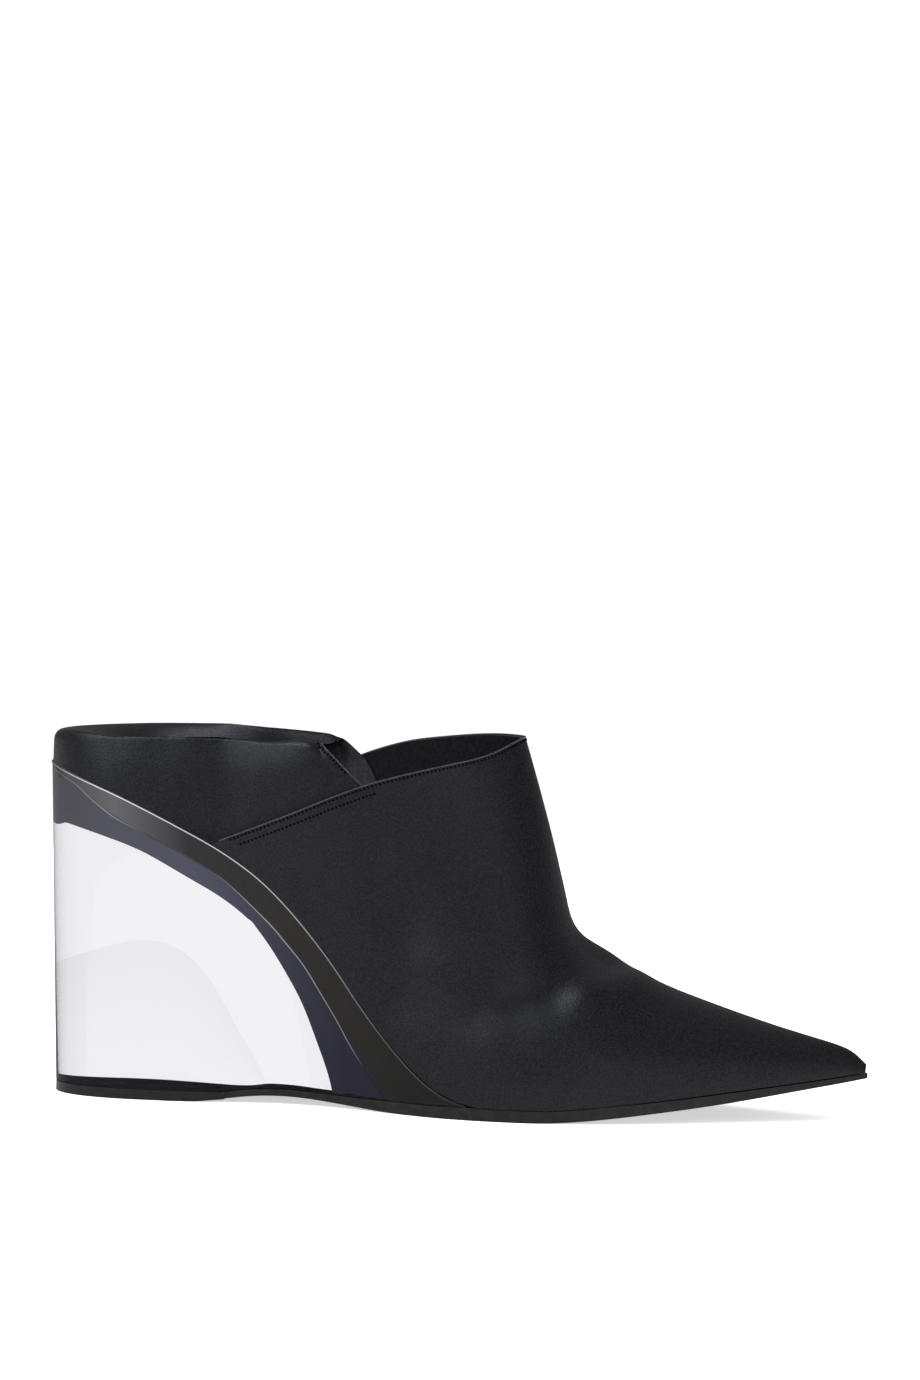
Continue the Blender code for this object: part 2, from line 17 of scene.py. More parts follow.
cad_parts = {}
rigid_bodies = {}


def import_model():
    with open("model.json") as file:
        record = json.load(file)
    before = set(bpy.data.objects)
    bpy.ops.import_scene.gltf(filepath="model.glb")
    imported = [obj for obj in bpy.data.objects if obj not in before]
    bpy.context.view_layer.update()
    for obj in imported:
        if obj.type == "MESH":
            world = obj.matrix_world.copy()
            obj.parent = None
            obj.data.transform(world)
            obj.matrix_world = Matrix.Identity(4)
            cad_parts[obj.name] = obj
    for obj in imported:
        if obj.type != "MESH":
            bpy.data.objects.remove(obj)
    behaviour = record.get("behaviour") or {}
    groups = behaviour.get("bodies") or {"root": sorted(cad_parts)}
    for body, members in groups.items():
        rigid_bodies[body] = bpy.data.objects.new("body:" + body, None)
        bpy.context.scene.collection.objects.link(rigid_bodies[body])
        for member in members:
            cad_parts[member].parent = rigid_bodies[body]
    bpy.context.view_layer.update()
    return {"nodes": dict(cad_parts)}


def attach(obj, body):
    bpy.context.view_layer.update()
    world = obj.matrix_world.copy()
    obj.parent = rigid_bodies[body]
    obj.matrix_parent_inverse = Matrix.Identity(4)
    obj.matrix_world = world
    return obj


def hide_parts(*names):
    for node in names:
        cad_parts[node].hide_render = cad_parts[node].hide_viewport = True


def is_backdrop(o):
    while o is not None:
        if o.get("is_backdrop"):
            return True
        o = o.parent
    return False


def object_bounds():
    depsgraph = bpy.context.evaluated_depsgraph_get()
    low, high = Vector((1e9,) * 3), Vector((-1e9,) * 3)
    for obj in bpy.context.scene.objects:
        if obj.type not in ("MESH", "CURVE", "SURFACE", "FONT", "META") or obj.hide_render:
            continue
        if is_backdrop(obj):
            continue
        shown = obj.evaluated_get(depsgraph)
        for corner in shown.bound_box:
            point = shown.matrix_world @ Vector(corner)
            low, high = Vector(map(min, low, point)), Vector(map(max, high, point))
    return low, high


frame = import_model()

# %% [markdown]
# A shoemaker measures from the back of the heel, in millimetres, so this lesson does too.
# One short function turns such a place into metres in the shared frame.
# X runs from the heel to the toe, Y to the inner side of the foot and Z up.

# %% Places on the shoe
MM = 0.001
HEEL_BACK = -118.85
MIDDLE_LINE = 1.99


def at(x, y, z):
    """A place in mm, from the back of the heel, the shoe's middle line and the floor."""
    return Vector((x + HEEL_BACK, y + MIDDLE_LINE, z)) * MM


print("Toe tip:", at(241, 0, 12))

# %% [markdown]
# ## Camera
# The shoe is seen from its outer side, a little from the heel's end, with a long lens, so the
# lines hardly converge. The camera stands higher than the shoe and looks slightly down.
# It is also rolled a little, because the shoe leans that way in the picture.

# %% Camera
LENS_MM = 122.7
SENSOR_MM = 36
CAMERA_PLACE = at(266.1, -1379.7, 172.0)
CAMERA_TURN = math.radians(6.14)
CAMERA_PITCH = math.radians(-2.05)
CAMERA_ROLL = math.radians(1.6)
NEAREST_SEEN = 0.05
camera_data = bpy.data.cameras.new("studio_camera")
camera = bpy.data.objects.new("studio_camera", camera_data)
bpy.context.scene.collection.objects.link(camera)
camera_data.lens = LENS_MM
camera_data.sensor_width = SENSOR_MM
camera_data.clip_start = NEAREST_SEEN
camera.matrix_world = (
    Matrix.Translation(CAMERA_PLACE)
    @ Matrix.Rotation(CAMERA_TURN, 4, "Z")
    @ Matrix.Rotation(math.radians(90) + CAMERA_PITCH, 4, "X")
    @ Matrix.Rotation(CAMERA_ROLL, 4, "Z")
)
bpy.context.scene.camera = camera
print("Camera at", [round(part, 3) for part in CAMERA_PLACE])

# %% [markdown]
# ## Helpers for materials and nodes
# A finish is a small network of nodes around one shader. Short helpers make a material, add
# a node and join two nodes, so that each finish below reads as a list of its steps. What is
# the same all over a surface is set on the shader itself.

# %% Materials and nodes
def shader_of(made):
    return made.node_tree.nodes["Principled BSDF"]


def new_material(name, colour, roughness, specular=0.5):
    made = bpy.data.materials.new(name)
    made.use_nodes = True
    shader = shader_of(made)
    shader.inputs["Base Color"].default_value = (*colour, 1)
    shader.inputs["Roughness"].default_value = roughness
    shader.inputs["Specular IOR Level"].default_value = specular
    return made


def add_node(owner, kind, **settings):
    """A new node. Each setting is the value of one of its inputs, or else one of its properties."""
    node = owner.node_tree.nodes.new(kind)
    for key, value in settings.items():
        if key in node.inputs:
            node.inputs[key].default_value = value
        else:
            setattr(node, key, value)
    return node


def join(owner, source, output, target, socket):
    owner.node_tree.links.new(source.outputs[output], target.inputs[socket])


def ramp(made, stops):
    """A ramp through (place from 0 to 1, colour) stops."""
    node = add_node(made, "ShaderNodeValToRGB")
    elements = node.color_ramp.elements
    elements[0].position, elements[0].color = stops[0][0], (*stops[0][1], 1)
    elements[1].position, elements[1].color = stops[-1][0], (*stops[-1][1], 1)
    for position, colour in stops[1:-1]:
        elements.new(position).color = (*colour, 1)
    return node


# %% [markdown]
# ## Floor and light
# A product picture like this one is taken on a wide white table in front of a white wall.
# Both are lit until they are as white as the picture can show, so no edge is seen between
# them. Only through the acrylic, which takes a little light away, are they told apart.

# %% Floor
def deselect():
    for obj in bpy.context.selected_objects:
        obj.select_set(False)


def make_active(obj):
    deselect()
    obj.select_set(True)
    bpy.context.view_layer.objects.active = obj


TABLE_BEHIND = 1.0
TABLE_DEPTH = 2.6
TABLE_WIDTH = 4.0
PAPER_WHITE = (0.88, 0.875, 0.87)
deselect()
bpy.ops.mesh.primitive_plane_add(size=1, location=(0, TABLE_BEHIND - TABLE_DEPTH / 2, 0))
bpy.ops.transform.resize(value=(TABLE_WIDTH, TABLE_DEPTH, 1))
floor = bpy.context.object
floor.name = "floor"
paper = new_material("white_paper", PAPER_WHITE, 0.9, specular=0.1)
floor.data.materials.append(paper)
floor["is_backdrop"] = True
print("Floor in m:", TABLE_WIDTH, "wide and", TABLE_DEPTH, "deep")

# %% [markdown]
# A lamp strong enough to turn the paper pure white would also grey the black satin. So the
# paper is lifted to white by a light of its own, which only shows where the paper is seen
# straight on or through the wedge. Where a polished side mirrors the paper or lets it through,
# its plain colour is a dark grey, as if black cards lay beside the shoe, and the mirrored
# floor leaves the dark core behind that side dark. All this goes by the kind of ray.

# %% Light of the paper
SEEN_DIRECTLY = 0.6
SEEN_THROUGH_WEDGE = 0.78
CARD_GREY = (0.18, 0.18, 0.18)
# Numbers of the sockets that a Mix node uses for colours
MIX_A, MIX_B, MIX_RESULT = 6, 7, 2
paper_shader = shader_of(paper)
paper_shader.inputs["Emission Color"].default_value = (1, 1, 1, 1)
paper_ray = add_node(paper, "ShaderNodeLightPath")
direct = add_node(paper, "ShaderNodeMath", operation="MULTIPLY")
direct.inputs[1].default_value = SEEN_DIRECTLY
join(paper, paper_ray, "Is Camera Ray", direct, 0)
lifted = add_node(paper, "ShaderNodeMath", operation="MULTIPLY_ADD")
lifted.inputs[1].default_value = SEEN_THROUGH_WEDGE
join(paper, paper_ray, "Is Transmission Ray", lifted, 0)
join(paper, direct, 0, lifted, 2)
join(paper, lifted, 0, paper_shader, "Emission Strength")
paper_tone = add_node(paper, "ShaderNodeMix", data_type="RGBA")
paper_tone.inputs[MIX_A].default_value = (*PAPER_WHITE, 1)
paper_tone.inputs[MIX_B].default_value = (*CARD_GREY, 1)
join(paper, paper_ray, "Is Singular Ray", paper_tone, 0)
join(paper, paper_tone, MIX_RESULT, paper_shader, "Base Color")
print("Paper's own light:", SEEN_DIRECTLY, "seen directly,", SEEN_THROUGH_WEDGE, "through the wedge")

# %% [markdown]
# Behind the shoe, seen directly or through the acrylic, is a white wall. The light that the
# room sends onto the shoe is dimmer than that wall, and dimmer still in reflections, so the
# satin's edges stay black. This goes by the kind of ray as well. Colours are shown plainly,
# without a film look.

# %% Room and wall
ROOM_LIGHT = 0.52
ROOM_IN_REFLECTIONS = 0.22
WALL_LIGHT = 1.08
bpy.context.scene.view_settings.view_transform = "Standard"
world = bpy.data.worlds.new("white_room")
bpy.context.scene.world = world
world.use_nodes = True
room = world.node_tree.nodes["Background"]
room.inputs["Color"].default_value = (0.96, 0.98, 1.0, 1)
room_share = add_node(world, "ShaderNodeMapRange")
room_share.inputs["To Min"].default_value = ROOM_LIGHT
room_share.inputs["To Max"].default_value = ROOM_IN_REFLECTIONS
wall = add_node(world, "ShaderNodeBackground", Color=(1.0, 0.99, 1.0, 1), Strength=WALL_LIGHT)
world_ray = add_node(world, "ShaderNodeLightPath")
on_wall = add_node(world, "ShaderNodeMath", operation="MAXIMUM")
shown = add_node(world, "ShaderNodeMixShader")
join(world, world_ray, "Is Glossy Ray", room_share, "Value")
join(world, room_share, "Result", room, "Strength")
join(world, world_ray, "Is Camera Ray", on_wall, 0)
join(world, world_ray, "Is Transmission Ray", on_wall, 1)
join(world, on_wall, 0, shown, "Fac")
join(world, room, "Background", shown, 1)
join(world, wall, "Background", shown, 2)
join(world, shown, "Shader", world.node_tree.nodes["World Output"], "Surface")
print("Room light:", ROOM_LIGHT, "and", ROOM_IN_REFLECTIONS, "in reflections; wall:", WALL_LIGHT)

# %% [markdown]
# Four softboxes light the shoe. The top light is nearly as wide as the table and gives it an
# even white. It is left out of reflections, where it would draw a bright edge around the
# satin. The key light stands on the heel's side of the camera and the fill light on the
# toe's. The high light makes the satin shine along its folds.

# %% Lamps
# Name, place and target in m, width, height, watts and colour
SOFTBOXES = (
    ("top_light", (0.0, 0.6, 1.6), (0, 0.6, 0), 3.4, 4.0, 30, (1, 1, 1)),
    ("key_light", (-0.75, -0.8, 0.8), (0, 0, 0.05), 0.6, 0.5, 6.5, (0.93, 0.95, 1.0)),
    ("fill_light", (0.75, -1.0, 0.45), (0.05, 0, 0.04), 0.7, 0.7, 2.5, (0.97, 0.97, 1.0)),
    ("high_light", (-0.45, -0.32, 1.3), (0, 0, 0.05), 0.5, 0.4, 11, (0.90, 0.93, 1.0)),
)


def softbox(name, place, target, width, height, watts, colour):
    data = bpy.data.lights.new(name, "AREA")
    data.shape = "RECTANGLE"
    data.size = width
    data.size_y = height
    data.energy = watts
    data.color = colour
    lamp = bpy.data.objects.new(name, data)
    bpy.context.scene.collection.objects.link(lamp)
    lamp.location = place
    lamp.rotation_euler = (Vector(target) - Vector(place)).to_track_quat("-Z", "Y").to_euler()
    lamp.visible_transmission = False
    return lamp


lamps = [softbox(*row) for row in SOFTBOXES]
top_light = lamps[0]
top_light.visible_glossy = False
print("Lights:", [lamp.name for lamp in lamps])

# %% [markdown]
# ## Materials
# Satin is a weave whose threads float over one another, so it is darker than plain cloth and
# carries soft bluish highlights. Close up it has a fine speckle. The speckle is a noise far
# smaller than a millimetre, which also raises the surface a little, and a second, finer
# noise makes some threads smoother than others.

# %% A speckled finish
SPECKLE_FROM = 0.41
SPECKLE_TO = 0.59
BUMP_STRENGTH = 0.5


def speckled(name, dark, light, grain, roughness, height, specular, detail=2.0):
    """A material whose colour and surface vary with a fine noise. grain is the noise's scale,
    height how far it raises the surface, in metres."""
    made = new_material(name, dark, roughness, specular)
    place = add_node(made, "ShaderNodeTexCoord")
    noise = add_node(made, "ShaderNodeTexNoise", Scale=grain, Detail=detail)
    join(made, place, "Object", noise, "Vector")
    tint = ramp(made, ((SPECKLE_FROM, dark), (SPECKLE_TO, light)))
    join(made, noise, "Fac", tint, "Fac")
    join(made, tint, "Color", shader_of(made), "Base Color")
    bump = add_node(made, "ShaderNodeBump", Strength=BUMP_STRENGTH, Distance=height)
    join(made, noise, "Fac", bump, "Height")
    join(made, bump, "Normal", shader_of(made), "Normal")
    return made


# %% Satin
SMOOTH_THREADS = (0.38, (0.30, 0.30, 0.30))
ROUGH_THREADS = (0.62, (0.54, 0.54, 0.54))
satin = speckled(
    "black_satin", dark=(0.0010, 0.0010, 0.0012), light=(0.0100, 0.0097, 0.0112),
    grain=2600, roughness=0.42, height=0.22 * MM, specular=0.24,
)
threads = add_node(satin, "ShaderNodeTexNoise", Scale=4200, Detail=1.0)
join(satin, satin.node_tree.nodes["Texture Coordinate"], "Object", threads, "Vector")
gloss = ramp(satin, (SMOOTH_THREADS, ROUGH_THREADS))
join(satin, threads, "Fac", gloss, "Fac")
join(satin, gloss, "Color", shader_of(satin), "Roughness")
shader_of(satin).inputs["Specular Tint"].default_value = (0.90, 0.92, 1.0, 1)
shader_of(satin).inputs["Sheen Weight"].default_value = 0.005
shader_of(satin).inputs["Sheen Roughness"].default_value = 0.35
shader_of(satin).inputs["Sheen Tint"].default_value = (0.75, 0.85, 1.0, 1)
# The turned edges are paler than the satin. Their roll and gloss are real, and the paler colour is a painted
# highlight along the edge
turned_satin_highlight = speckled(
    "turned_satin_highlight", dark=(0.020, 0.020, 0.024), light=(0.055, 0.055, 0.062),
    grain=2200, roughness=0.35, height=0.04 * MM, specular=0.4,
)
thread = speckled(
    "black_thread", dark=(0.002, 0.002, 0.0025), light=(0.005, 0.005, 0.006),
    grain=6000, roughness=0.55, height=0.03 * MM, specular=0.0,
)
print("Cloth finishes:", satin.name, turned_satin_highlight.name, thread.name)

# %% [markdown]
# The lining is thin black leather, and it swallows light more than the satin does. In the
# trodden-down back it is painted paler, as painted light that lifts the shade it lies in.
# The foot bed is covered with a similar leather. The sole is thin leather with a glazed edge,
# and the lift under the heel is rubber.

# %% Leather and rubber
lining = speckled(
    "black_lining", dark=(0.0055, 0.0055, 0.0070), light=(0.0095, 0.0095, 0.0115),
    grain=900, roughness=0.7, height=0.05 * MM, specular=0.1,
)
# Painted light: a paler copy of the lining for the back, where the lining lies in shade
back_lining_painted_light = speckled(
    "lining_lifted_by_painted_light", dark=(0.026, 0.026, 0.031), light=(0.040, 0.040, 0.048),
    grain=900, roughness=0.7, height=0.05 * MM, specular=0.1,
)
bed_leather = speckled(
    "bed_leather", dark=(0.005, 0.005, 0.0055), light=(0.010, 0.010, 0.011),
    grain=700, roughness=0.5, height=0.06 * MM, specular=0.35, detail=4.0,
)
sole_leather = speckled(
    "sole_leather", dark=(0.004, 0.0036, 0.0033), light=(0.009, 0.008, 0.007),
    grain=400, roughness=0.3, height=0.03 * MM, specular=0.25,
)
lift_rubber = speckled(
    "lift_rubber", dark=(0.004, 0.004, 0.004), light=(0.009, 0.0085, 0.008),
    grain=1200, roughness=0.5, height=0.03 * MM, specular=0.25,
)
print("Leather:", lining.name, back_lining_painted_light.name, bed_leather.name, sole_leather.name)
print("Rubber:", lift_rubber.name)

# %% [markdown]
# The wedge is cast acrylic, polished on its sides. Light bends in it as in glass, so the
# material lets light through and bends it by acrylic's own index, 1.49. Its top and its base
# are glued to black, and those two faces are seen from inside the acrylic.
# On the real wedge light also runs inside the acrylic and falls on the black core from
# within. Following it would take far too long, so the core's coats give off that faint light
# themselves, brightest at the heel and fading to the waist.

# %% Acrylic and its black bond
acrylic = new_material("clear_acrylic", (0.85, 0.845, 0.865), 0.0)
shader_of(acrylic).inputs["Transmission Weight"].default_value = 1.0
shader_of(acrylic).inputs["IOR"].default_value = 1.49
bond = new_material("black_bond", (0.004, 0.004, 0.006), 0.3, specular=0.0)
print("Wedge:", acrylic.name, "on", bond.name)

# %% Coats of the core
# Each stop is a place in mm from the heel's back and the colour there of the painted light that the coat
# gives off
WALL_GLOW_TONES = (
    (-3.3, (0.045, 0.026, 0.024)), (1.5, (0.045, 0.026, 0.024)), (4.5, (0.080, 0.078, 0.080)),
    (20, (0.138, 0.138, 0.142)), (42, (0.030, 0.028, 0.030)), (75, (0.024, 0.023, 0.020)),
    (110, (0.012, 0.011, 0.010)),
)
UNDERSIDE_GLOW_TONES = (
    (-3, (0.070, 0.066, 0.080)), (20, (0.088, 0.088, 0.112)), (45, (0.080, 0.081, 0.120)),
    (70, (0.040, 0.040, 0.060)), (90, (0.018, 0.017, 0.032)), (110, (0.014, 0.013, 0.024)),
)
RIM_HIGHLIGHT_TONES = (
    (-3, (0.12, 0.11, 0.11)), (15, (0.80, 0.80, 0.82)), (60, (0.55, 0.55, 0.56)),
    (80, (0.30, 0.30, 0.30)), (100, (0.12, 0.12, 0.12)), (127, (0.03, 0.03, 0.03)),
)
EDGE_HIGHLIGHT_TONES = (
    (-3, (0.10, 0.10, 0.11)), (18, (0.30, 0.30, 0.32)), (30, (0.04, 0.04, 0.05)),
    (48, (0.05, 0.05, 0.06)), (66, (0.35, 0.35, 0.36)), (92, (0.22, 0.22, 0.23)),
    (96, (0.006, 0.005, 0.012)),
)


def graded(name, roughness, stops):
    """A black coat that gives off a faint light of its own, graded along the shoe."""
    made = new_material(name, (0, 0, 0), roughness, specular=0.0)
    shader_of(made).inputs["Emission Strength"].default_value = 1.0
    place = add_node(made, "ShaderNodeTexCoord")
    parts = add_node(made, "ShaderNodeSeparateXYZ")
    join(made, place, "Object", parts, "Vector")
    first, last = stops[0][0], stops[-1][0]
    share = add_node(made, "ShaderNodeMapRange")
    share.inputs["From Min"].default_value = at(first, 0, 0).x
    share.inputs["From Max"].default_value = at(last, 0, 0).x
    join(made, parts, "X", share, "Value")
    tint = ramp(made, [((x - first) / (last - first), colour) for x, colour in stops])
    join(made, share, "Result", tint, "Fac")
    join(made, tint, "Color", shader_of(made), "Emission Color")
    return made


# Painted light: the core's wall and underside glow grey and blue-black, brightest at the heel
core_wall_glow = graded("core_wall_glow", 0.3, WALL_GLOW_TONES)
core_under_glow = graded("core_underside_glow", 0.3, UNDERSIDE_GLOW_TONES)
# Painted highlights: the rim and the wall's foot glow as fine light lines
rim_highlight_coat = graded("painted_rim_highlight", 0.25, RIM_HIGHLIGHT_TONES)
foot_highlight_coat = graded("painted_core_edge_highlight", 0.25, EDGE_HIGHLIGHT_TONES)
print("Coats of the core:", [made.name for made in (core_wall_glow, core_under_glow, rim_highlight_coat, foot_highlight_coat)])

# %% [markdown]
# ## From CAD to smooth pieces
# A CAD mesh is loose triangles. For each part a copy is merged into one skin, its triangles
# are joined into quads, and its sharp edges are creased. Then Subdivision Surface rounds
# what lies between the creases. The CAD mesh itself isn't touched.

# %% A smooth copy of a CAD part
SHARP = math.radians(42)
SAME_PLACE = 0.002 * MM
PAIR_BEND = math.radians(60)
PAIR_SHAPE = math.radians(80)


def crease_sharp_edges(piece):
    make_active(piece)
    bpy.ops.object.mode_set(mode="EDIT")
    bpy.ops.mesh.select_mode(type="EDGE")
    bpy.ops.mesh.select_all(action="DESELECT")
    bpy.ops.mesh.edges_select_sharp(sharpness=SHARP)
    bpy.ops.mesh.mark_sharp()
    bpy.ops.transform.edge_crease(value=1)
    bpy.ops.mesh.select_all(action="DESELECT")
    bpy.ops.mesh.select_mode(type="FACE")
    bpy.ops.object.mode_set(mode="OBJECT")


def merged_copy(node, name):
    """A copy of a CAD part as one skin of quads, with its sharp edges creased."""
    piece = bpy.data.objects.new(name, frame["nodes"][node].data.copy())
    piece.data.materials.clear()
    bpy.context.scene.collection.objects.link(piece)
    make_active(piece)
    bpy.ops.mesh.customdata_custom_splitnormals_clear()
    bpy.ops.object.mode_set(mode="EDIT")
    bpy.ops.mesh.select_all(action="SELECT")
    bpy.ops.mesh.remove_doubles(threshold=SAME_PLACE)
    bpy.ops.mesh.tris_convert_to_quads(face_threshold=PAIR_BEND, shape_threshold=PAIR_SHAPE)
    bpy.ops.mesh.select_all(action="DESELECT")
    bpy.ops.object.mode_set(mode="OBJECT")
    crease_sharp_edges(piece)
    return piece


# %% Finer meshes and soft edges
def subdivide(piece, levels):
    make_active(piece)
    modifier = piece.modifiers.new("smooth", "SUBSURF")
    modifier.levels = levels
    modifier.render_levels = levels
    bpy.ops.object.modifier_apply(modifier=modifier.name)


def soften_edges(piece, width, segments=2, made_of=-1):
    """A narrow bevel on the sharp edges. made_of is the number of its material, -1 for its neighbours'."""
    make_active(piece)
    modifier = piece.modifiers.new("edges", "BEVEL")
    modifier.material = made_of
    modifier.width = width
    modifier.segments = segments
    modifier.limit_method = "ANGLE"
    modifier.angle_limit = SHARP
    bpy.ops.object.modifier_apply(modifier=modifier.name)


# %% A coat on one skin, and the finish of a piece
SHADED_ACROSS = math.radians(35)


def coat_from(piece, seed, made_of):
    """The skin that spreads from the point nearest to seed, as far as the sharp edges, gets the material."""
    piece.data.materials.append(made_of)
    index = len(piece.data.materials) - 1
    _, _, _, nearest = piece.closest_point_on_mesh(seed)
    make_active(piece)
    bpy.ops.object.mode_set(mode="EDIT")
    skin = bmesh.from_edit_mesh(piece.data)
    skin.faces.ensure_lookup_table()
    skin.faces[nearest].select = True
    bmesh.update_edit_mesh(piece.data)
    bpy.ops.mesh.select_linked(delimit={"SHARP"})
    piece.active_material_index = index
    bpy.ops.object.material_slot_assign()
    bpy.ops.mesh.select_all(action="DESELECT")
    bpy.ops.object.mode_set(mode="OBJECT")
    count = sum(1 for face in piece.data.polygons if face.material_index == index)
    print(piece.name, "has", count, "faces of", made_of.name)


def finish_piece(piece, slot, *nodes):
    """Smooth shading, the body it rides on, and the CAD parts that it stands for."""
    make_active(piece)
    bpy.ops.object.shade_smooth_by_angle(angle=SHADED_ACROSS)
    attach(piece, "root")
    if nodes:
        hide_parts(*nodes)
    piece.data.calc_loop_triangles()
    print(piece.name, len(piece.data.loop_triangles), "triangles")


# %% [markdown]
# ## Satin front
# The front has been worn, so its satin isn't even. It has folded a little at the instep's
# bend, and there are wide, shallow hollows where the foot and the last let go of it.
# Each is a stroke along the skin, placed in the shoe's millimetres. A helper moves
# the points near a stroke along the skin's own normal, and less the farther they are.

# %% Folds pressed into cloth
# Material numbers of a cloth piece. Its lining is number 1.
TURNED_EDGE = 0
SATIN_SKIN = 2
OUTER, INNER = -1, 1
SIDE_BLEND = 16.0
SHORTEST_STROKE = 0.1


def skin_from(piece, indices):
    """The faces with these material numbers, as a tree that finds the nearest point and its normal."""
    skin = bmesh.new()
    skin.from_mesh(piece.data)
    spare = [face for face in skin.faces if face.material_index not in indices]
    bmesh.ops.delete(skin, geom=spare, context="FACES")
    tree = BVHTree.FromBMesh(skin)
    skin.free()
    return tree


def soft_step(share):
    """0 below 0, 1 above 1 and an easy curve between them."""
    share = min(max(share, 0), 1)
    return share * share * (3 - 2 * share)


def press(piece, strokes):
    """Soft ridges and troughs along short lines seen from the side. Each stroke is in mm:
    side, start (x, z), end (x, z), reach, height (below 0 for a trough)."""
    outside = skin_from(piece, (TURNED_EDGE, SATIN_SKIN))
    moves = []
    for vertex in piece.data.vertices:
        x = vertex.co.x / MM - HEEL_BACK
        y = vertex.co.y / MM - MIDDLE_LINE
        z = vertex.co.z / MM
        rise = 0.0
        for side, start, end, reach, height in strokes:
            turned = soft_step(0.5 + side * y / SIDE_BLEND)
            run = Vector(end) - Vector(start)
            share = (Vector((x, z)) - Vector(start)).dot(run) / max(run.length_squared, SHORTEST_STROKE ** 2)
            nearest = Vector(start) + run * min(max(share, 0), 1)
            away = (Vector((x, z)) - nearest).length / reach
            rise += turned * height * math.exp(-away * away)
        _, normal, _, _ = outside.find_nearest(vertex.co)
        moves.append(normal * rise * MM)
    for vertex, move in zip(piece.data.vertices, moves):
        vertex.co += move
    print(piece.name, "pressed by up to", round(max(move.length for move in moves) / MM, 2), "mm")


# %% Vamp
SMOOTH_LEVELS = 2
VAMP_EDGE = 0.4 * MM
VAMP_FOLDS = (
    (OUTER, (159, 50), (165, 46), 7, -2.2),
    (OUTER, (153, 41), (140, 36), 6, -0.9),
    (OUTER, (160, 36), (172, 38), 6, 1.9),
    (OUTER, (138, 20), (160, 18), 13, 1.3),
    (OUTER, (104, 43), (128, 45), 5, 0.4),
    (OUTER, (105, 68), (107, 34), 8, -1.0),
    (OUTER, (93, 76), (92, 56), 9, 0.6),
    (OUTER, (131, 33), (150, 34), 6, -0.8),
    (INNER, (154, 56), (150, 42), 6, -1.1),
    (INNER, (160, 36), (163, 44), 7, 0.7),
    (INNER, (136, 22), (152, 20), 11, 0.8),
    (INNER, (108, 70), (112, 40), 9, -0.9),
    (INNER, (122, 46), (134, 38), 7, 0.5),
)
vamp = merged_copy("upper_vamp", "satin_vamp")
vamp.data.materials.append(satin)
coat_from(vamp, at(150, 0, 40), lining)
coat_from(vamp, at(150, -60, 40), satin)
subdivide(vamp, SMOOTH_LEVELS)
press(vamp, VAMP_FOLDS)
soften_edges(vamp, VAMP_EDGE)
finish_piece(vamp, "satin", "upper_vamp")

# %% [markdown]
# ## Trodden-down back
# The back is softer than the front: only satin and lining. Its wall bulges between the folds
# that the foot has pressed into it, and its shoulder is pushed in. On the inner side its
# front end lies lower, down inside the vamp, so no gap shows behind it.

# %% Back quarter
QUARTER_EDGE = 0.35 * MM
QUARTER_FOLDS = (
    (OUTER, (44, 101), (54, 100), 6, 0.3),
    (OUTER, (64, 100), (74, 99), 7, 0.7),
    (OUTER, (37, 100), (33, 102), 5, -0.25),
    (OUTER, (59, 97), (57, 88), 6, -0.3),
    (OUTER, (20, 111), (62, 110), 10, -2.4),
    (INNER, (44, 102), (50, 100), 6, 0.5),
    (INNER, (26, 98), (30, 94), 5, -0.4),
    (INNER, (62, 99), (60, 90), 6, -0.5),
)
quarter = merged_copy("heel_quarter", "satin_quarter")
quarter.data.materials.append(lining)
# The back's lining takes the paler copy, which is painted light that lifts its shade
coat_from(quarter, at(60, -20, 92), back_lining_painted_light)
coat_from(quarter, at(60, -60, 92), satin)
subdivide(quarter, SMOOTH_LEVELS)
press(quarter, QUARTER_FOLDS)

# %% Inner front end of the quarter
TUCKED_DOWN = 4.0 * MM
TUCK_START = 82
TUCK_RUN = 6
TUCK_TOP = 100
TUCK_FADE = 5
for vertex in quarter.data.vertices:
    x = vertex.co.x / MM - HEEL_BACK
    low = soft_step((TUCK_TOP - vertex.co.z / MM) / TUCK_FADE)
    if vertex.co.y > 0:
        vertex.co.z -= TUCKED_DOWN * soft_step((x - TUCK_START) / TUCK_RUN) * low
soften_edges(quarter, QUARTER_EDGE)
finish_piece(quarter, "satin_back", "heel_quarter")

# %% [markdown]
# ## Foot bed
# A thin board covered with leather lies on the wedge and the sole. The merged copy already
# has its form, so it only needs finer curves and a soft edge.

# %% Foot bed
BED_EDGE = 0.5 * MM
bed = merged_copy("insole", "leather_bed")
bed.data.materials.append(bed_leather)
subdivide(bed, SMOOTH_LEVELS)
soften_edges(bed, BED_EDGE)
finish_piece(bed, "lining", "insole")

# %% [markdown]
# ## Clear wedge
# The foot bed has a black core that reaches down into the acrylic like the hull of a boat.
# Seen through the clear side it makes two dark bands: the core's steep wall and, below a fine
# light line, its underside. The wall's grey, the light line and the underside's blue-black
# are painted light, which the core's coats give off. The wedge's top is made of rows of nine
# points across the shoe. They are moved to that hull: the keel in the middle, then to each
# side the bilge, the wall's foot, and a narrow flat land that ends at the edge.

